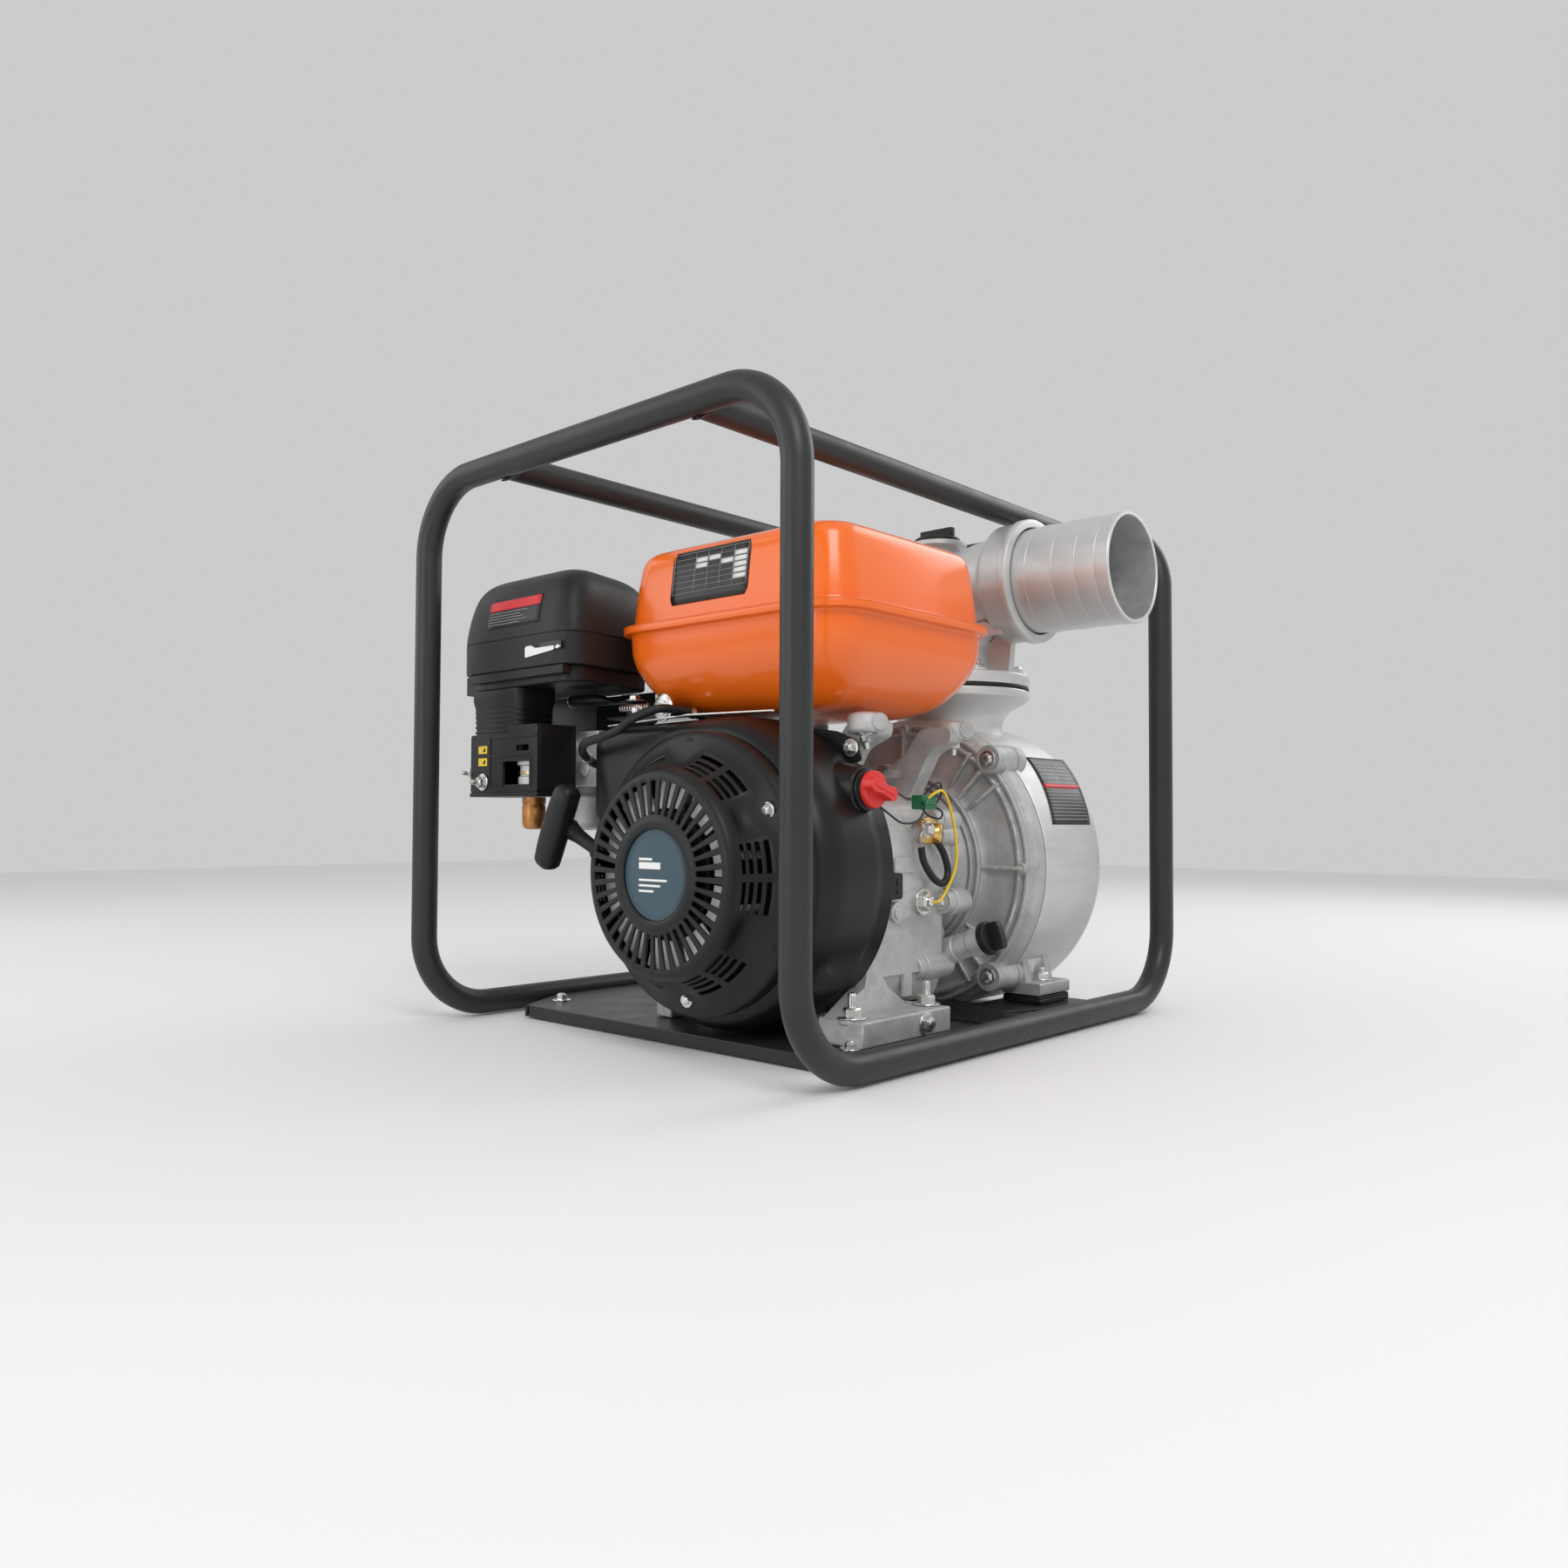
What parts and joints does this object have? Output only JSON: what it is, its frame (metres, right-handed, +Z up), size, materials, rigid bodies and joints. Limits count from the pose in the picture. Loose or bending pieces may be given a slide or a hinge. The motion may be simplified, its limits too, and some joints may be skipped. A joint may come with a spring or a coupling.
{
  "type": "portable fire pump",
  "caption": "Portable petrol-engine centrifugal water pump in a dark tube frame, orange fuel tank, black recoil starter and air cleaner, cast aluminium pump with hose tails",
  "frame": {"origin": "middle of the whole set's box, on the ground under the frame rails", "axes": "+Z up; crank axis along Y with the recoil starter at -Y and the pump at +Y; the discharge hose tail points along +X, the air cleaner and cylinder are on the -X side"},
  "size_m": [0.5295, 0.6411, 0.5302],
  "materials": {
    "frame_paint": "satin",
    "black_paint": "satin",
    "black_plastic": "matte",
    "tank_orange": "gloss",
    "cast_aluminium": "satin",
    "steel": "satin",
    "bronze": "satin",
    "rubber": "matte",
    "foam": "matte",
    "red_plastic": "gloss",
    "yellow_wire": "gloss"
  },
  "bodies": {
    "pump_set": {"frame_front_tube": "frame_paint", "frame_rear_tube": "frame_paint", "top_rail_left": "frame_paint", "top_rail_right": "frame_paint", "engine_base_plate": "frame_paint", "pump_cross_member": "frame_paint", "pump_foot_pad_left": "rubber", "pump_foot_pad_right": "rubber", "crankcase": "cast_aluminium", "crankcase_side_cover": "cast_aluminium", "cylinder_head": "cast_aluminium", "rocker_cover": "steel", "spark_plug": "steel", "spark_plug_cap": "rubber", "ignition_lead": "rubber", "fan_shroud": "black_paint", "recoil_cover": "black_plastic", "main_bearing_front": "steel", "main_bearing_rear": "steel", "fuel_tank_upper": "tank_orange", "fuel_tank_lower": "tank_orange", "tank_bracket_front": "cast_aluminium", "tank_bracket_rear": "cast_aluminium", "air_cleaner_base": "black_plastic", "air_cleaner_cover": "black_plastic", "air_filter_element": "foam", "intake_elbow": "black_plastic", "carburetor": "cast_aluminium", "fuel_strainer_cup": "bronze", "control_bracket": "black_paint", "fuel_hose": "rubber", "muffler": "steel", "muffler_guard": "steel", "switch_body": "black_plastic", "oil_level_switch": "steel", "ground_lead": "rubber", "yellow_wire": "yellow_wire", "pump_adapter": "cast_aluminium", "pump_casing": "cast_aluminium", "volute": "cast_aluminium", "mechanical_seal": "rubber", "outlet_gasket": "rubber", "discharge_elbow": "cast_aluminium", "discharge_barb": "cast_aluminium", "suction_barb": "cast_aluminium"},
    "rotor": {"crankshaft": "steel", "flywheel_fan": "cast_aluminium", "impeller": "cast_aluminium"},
    "recoil_handle": {"recoil_handle": "black_plastic"},
    "starter_reel": {"starter_reel": "black_plastic"},
    "piston": {"piston": "cast_aluminium"},
    "fuel_cap": {"fuel_cap": "black_plastic"},
    "oil_filler_cap": {"oil_filler_cap": "black_plastic"},
    "priming_cap": {"priming_cap": "black_plastic"},
    "drain_plug": {"drain_plug": "steel"},
    "engine_switch_knob": {"engine_switch_knob": "red_plastic"},
    "choke_lever": {"choke_lever": "black_plastic"},
    "fuel_valve_lever": {"fuel_valve_lever": "black_plastic"},
    "throttle_lever": {"throttle_lever": "black_paint"},
    "check_valve_flap": {"check_valve_flap": "rubber"}
  },
  "joints": [
    {"name": "rotor_turn", "type": "hinge", "parent": "pump_set", "child": "rotor", "pos_m": [0.05085, -0.11415, 0.151], "axis": [0, 1, 0], "continuous": true},
    {"name": "recoil_pull", "type": "slide", "parent": "pump_set", "child": "recoil_handle", "axis": [-0.907, 0, 0.421], "range_m": [0, 0.25], "stiffness_N_per_m": 40, "springref_m": -0.05},
    {"name": "reel_turn", "type": "hinge", "parent": "pump_set", "child": "starter_reel", "pos_m": [0.05085, -0.26215, 0.151], "axis": [0, 1, 0], "range_deg": [-355, 0]},
    {"name": "piston_travel", "type": "slide", "parent": "pump_set", "child": "piston", "axis": [-0.9063, 0, 0.4226], "range_m": [-0.029, 0.029]},
    {"name": "fuel_cap_turn", "type": "hinge", "parent": "pump_set", "child": "fuel_cap", "pos_m": [0.02285, -0.04415, 0.453], "axis": [0, 0, 1], "range_deg": [0, 90]},
    {"name": "oil_filler_cap_turn", "type": "hinge", "parent": "pump_set", "child": "oil_filler_cap", "pos_m": [0.18085, 0.00685, 0.0873], "axis": [0.9455, 0, 0.3256], "range_deg": [0, 720]},
    {"name": "priming_cap_turn", "type": "hinge", "parent": "pump_set", "child": "priming_cap", "pos_m": [0.03535, 0.14085, 0.4975], "axis": [0, 0, 1], "range_deg": [0, 720]},
    {"name": "drain_plug_turn", "type": "hinge", "parent": "pump_set", "child": "drain_plug", "pos_m": [0.05085, 0.22085, 0.046], "axis": [0, 1, 0], "range_deg": [0, 720]},
    {"name": "switch_turn", "type": "hinge", "parent": "pump_set", "child": "engine_switch_knob", "pos_m": [0.18035, -0.16215, 0.2213], "axis": [1, 0, 0], "range_deg": [0, 45]},
    {"name": "choke_swing", "type": "hinge", "parent": "pump_set", "child": "choke_lever", "pos_m": [-0.25715, -0.21715, 0.274], "axis": [1, 0, 0], "range_deg": [-60, 0]},
    {"name": "fuel_valve_swing", "type": "hinge", "parent": "pump_set", "child": "fuel_valve_lever", "pos_m": [-0.25715, -0.21715, 0.252], "axis": [1, 0, 0], "range_deg": [0, 60]},
    {"name": "throttle_swing", "type": "hinge", "parent": "pump_set", "child": "throttle_lever", "pos_m": [-0.08015, -0.19215, 0.306], "axis": [0, 0, 1], "range_deg": [-30, 0]},
    {"name": "check_valve_swing", "type": "hinge", "parent": "pump_set", "child": "check_valve_flap", "pos_m": [0.05085, 0.21045, 0.2645], "axis": [1, 0, 0], "range_deg": [-50, 0]}
  ],
  "couplings": [
    {"joint": "reel_turn", "follows": "recoil_pull", "rad_per_m": -23.809}
  ]
}
